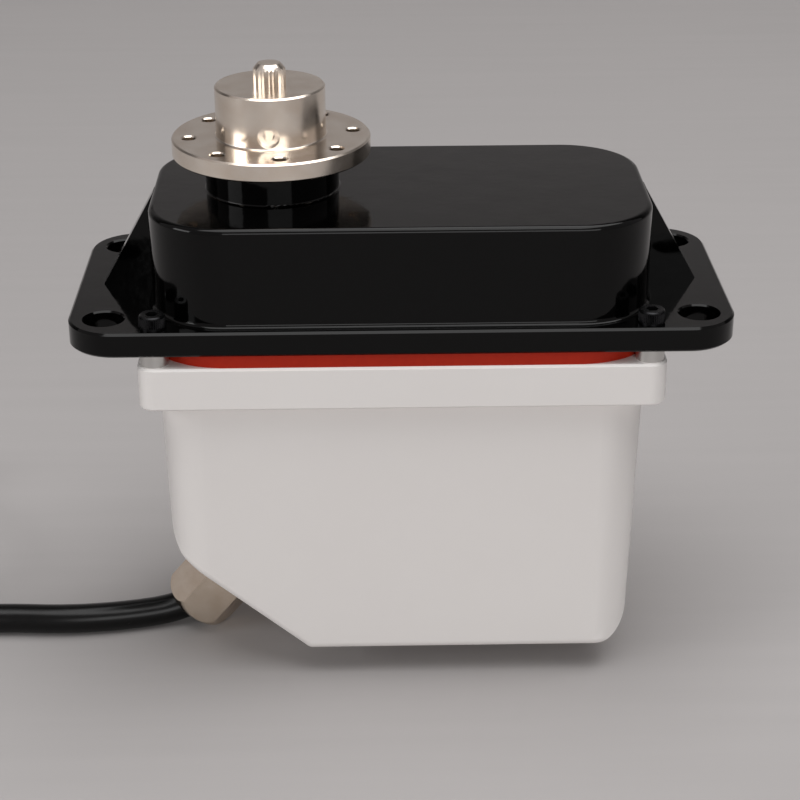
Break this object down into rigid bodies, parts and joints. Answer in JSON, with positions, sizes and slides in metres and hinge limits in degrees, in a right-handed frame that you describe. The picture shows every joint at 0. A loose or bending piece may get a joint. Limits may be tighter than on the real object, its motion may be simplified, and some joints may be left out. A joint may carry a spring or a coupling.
{
  "type": "robot joint actuator",
  "caption": "Flanged rotary servo actuator for a robot joint: geared motor in a sealed case, drilled output hub on a splined shaft, cable with plug.",
  "frame": {"origin": "centre of the unit's bounding box, without its free cable, at its lowest level", "axes": "+Z along the output axis, towards the hub; +X along the flange, away from the output; +Y across the flange"},
  "size_m": [0.2132, 0.0859, 0.1158],
  "materials": {
    "case_paint": "white powder coat, satin",
    "cover_black": "black anodised, glossy",
    "seal_red": "moulded silicone",
    "seal_black": "moulded nitrile",
    "nickel": "nickel plated",
    "steel": "machined",
    "bearing_steel": "polished",
    "brass": "turned",
    "copper": "enamelled wire",
    "plate_metal": "milled",
    "motor_steel": "zinc plated",
    "laminations": "stacked",
    "ferrite": "sintered",
    "magnet_nickel": "plated",
    "carbon": "pressed graphite",
    "board_green": "solder mask",
    "chip_black": "moulded",
    "socket_white": "moulded",
    "wire_red": "silicone insulation",
    "cable_black": "PVC jacket, satin",
    "plug_black": "moulded",
    "aluminium_sleeve": "drawn can"
  },
  "bodies": {
    "base": {"lower_case": "case_paint", "case_gasket": "seal_red", "gearbox_cover": "cover_black", "cover_screws": "steel", "mid_plate": "plate_metal", "mid_plate_screws": "steel", "motor_screws": "steel", "gear_pin_1": "bearing_steel", "gear_pin_2": "bearing_steel", "gear_pin_3": "bearing_steel", "shaft_bearing_upper": "bearing_steel", "shaft_bearing_lower": "bearing_steel", "shaft_seal": "seal_black", "motor_can": "motor_steel", "motor_end_cap": "chip_black", "motor_bushes": "brass", "motor_magnets": "ferrite", "motor_brushes": "carbon", "motor_terminals": "brass", "sensor_board": "board_green", "sensor_chip": "chip_black", "sensor_socket": "socket_white", "sensor_screws": "steel", "control_board": "board_green", "board_chips": "chip_black", "board_capacitor": "aluminium_sleeve", "board_sockets": "socket_white", "cable_cores": "wire_red", "motor_leads": "wire_red", "sensor_lead": "cable_black", "gland_washer": "seal_black", "gland_body": "nickel", "gland_nut": "nickel", "gland_insert": "seal_black", "cable_entry": "cable_black", "cable": "cable_black", "cable_coil": "cable_black", "connector": "plug_black"},
    "motor_rotor_body": {"motor_shaft": "bearing_steel", "motor_pinion": "steel", "motor_rotor": "laminations", "motor_windings": "copper", "motor_commutator": "copper"},
    "gear_1_body": {"compound_gear_1": "steel"},
    "gear_2_body": {"compound_gear_2": "steel"},
    "gear_3_body": {"compound_gear_3": "steel"},
    "output_body": {"output_shaft": "nickel", "output_gear": "steel", "output_hub": "nickel", "hub_set_screw": "steel", "sensor_magnet": "magnet_nickel"}
  },
  "joints": [
    {"name": "motor_turn", "type": "hinge", "parent": "base", "child": "motor_rotor_body", "pos_m": [0.02299, 0.00155, 0.08], "axis": [0, 0, 1], "range_deg": [-10185, 10185]},
    {"name": "gear_1_turn", "type": "hinge", "parent": "base", "child": "gear_1_body", "pos_m": [0.01739, -0.00935, 0.08], "axis": [0, 0, 1], "range_deg": [-2949, 2949]},
    {"name": "gear_2_turn", "type": "hinge", "parent": "base", "child": "gear_2_body", "pos_m": [0.01208, 0.00574, 0.08], "axis": [0, 0, 1], "range_deg": [-983, 983]},
    {"name": "gear_3_turn", "type": "hinge", "parent": "base", "child": "gear_3_body", "pos_m": [-0.00065, -0.00698, 0.08], "axis": [0, 0, 1], "range_deg": [-378, 378]},
    {"name": "output_turn", "type": "hinge", "parent": "base", "child": "output_body", "pos_m": [-0.02335, 0, 0.08], "axis": [0, 0, 1], "range_deg": [-135, 135]}
  ],
  "couplings": [
    {"joint": "gear_1_turn", "follows": "motor_turn", "ratio": -0.28947},
    {"joint": "gear_2_turn", "follows": "motor_turn", "ratio": 0.096491},
    {"joint": "gear_3_turn", "follows": "motor_turn", "ratio": -0.037112},
    {"joint": "output_turn", "follows": "motor_turn", "ratio": 0.013254}
  ]
}
